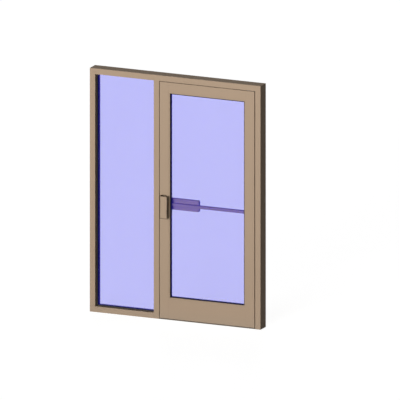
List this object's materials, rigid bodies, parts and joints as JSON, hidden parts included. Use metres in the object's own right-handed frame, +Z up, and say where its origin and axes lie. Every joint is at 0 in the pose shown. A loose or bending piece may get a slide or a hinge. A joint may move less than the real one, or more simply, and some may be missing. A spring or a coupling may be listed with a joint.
{
  "type": "glazed entrance door with sidelight",
  "caption": "Aluminium entrance frame with a glazed sidelight and a glazed leaf that swings outward on centre-hung pivots, with a pull outside and a push-pad exit device inside.",
  "frame": {"origin": "on the underside of the threshold at floor level, in the middle of the overall width and of the frame depth", "axes": "+X along the width toward the hinge jamb, +Y from the street side into the building, +Z up"},
  "size_m": [1.6256, 0.1651, 2.1844],
  "materials": {
    "frame_metal": "satin, tan anodised",
    "leaf_metal": "satin, tan anodised",
    "hardware_metal": "satin, tan anodised",
    "threshold_metal": "mill, fluted",
    "glazing": "clear, faint blue",
    "gasket_rubber": "matt black",
    "spacer_metal": "dull",
    "pivot_steel": "brushed"
  },
  "bodies": {
    "frame": {"left_jamb": "frame_metal", "mullion": "frame_metal", "hinge_jamb": "frame_metal", "sidelight_head": "frame_metal", "sidelight_sill": "frame_metal", "door_header": "frame_metal", "tube_end_plugs": "frame_metal", "head_glass_stop": "frame_metal", "sill_glass_stop": "frame_metal", "sidelight_pane_outer": "glazing", "sidelight_pane_inner": "glazing", "sidelight_spacer": "spacer_metal", "sidelight_gasket_outer": "gasket_rubber", "sidelight_gasket_inner": "gasket_rubber", "sidelight_setting_blocks": "gasket_rubber", "head_door_stop": "frame_metal", "lock_door_stop": "frame_metal", "stop_seals": "gasket_rubber", "threshold": "threshold_metal", "bottom_pivot": "pivot_steel", "top_pivot": "pivot_steel"},
    "door": {"lock_stile": "leaf_metal", "hinge_stile": "leaf_metal", "top_rail": "leaf_metal", "bottom_rail": "leaf_metal", "lock_stile_plugs": "leaf_metal", "outer_glass_stops": "leaf_metal", "inner_glass_stops": "leaf_metal", "leaf_pane_outer": "glazing", "leaf_pane_inner": "glazing", "leaf_spacer": "spacer_metal", "leaf_gasket_outer": "gasket_rubber", "leaf_gasket_inner": "gasket_rubber", "leaf_setting_blocks": "gasket_rubber", "bottom_pivot_shoe": "pivot_steel", "top_pivot_shoe": "pivot_steel", "pull_handle": "hardware_metal", "exit_crossbar": "hardware_metal", "crossbar_plug": "hardware_metal", "crossbar_bracket": "hardware_metal", "device_chassis": "hardware_metal"},
    "pad": {"push_pad": "hardware_metal", "pad_plungers": "pivot_steel"}
  },
  "joints": [
    {"name": "door_swing", "type": "hinge", "parent": "frame", "child": "door", "pos_m": [0.692, -0.03492, 0], "axis": [0, 0, 1], "range_deg": [0, 105], "stiffness_Nm_per_rad": 6},
    {"name": "pad_push", "type": "slide", "parent": "door", "child": "pad", "axis": [0, -1, 0], "range_m": [0, 0.012], "stiffness_N_per_m": 1500, "springref_m": -0.004}
  ]
}
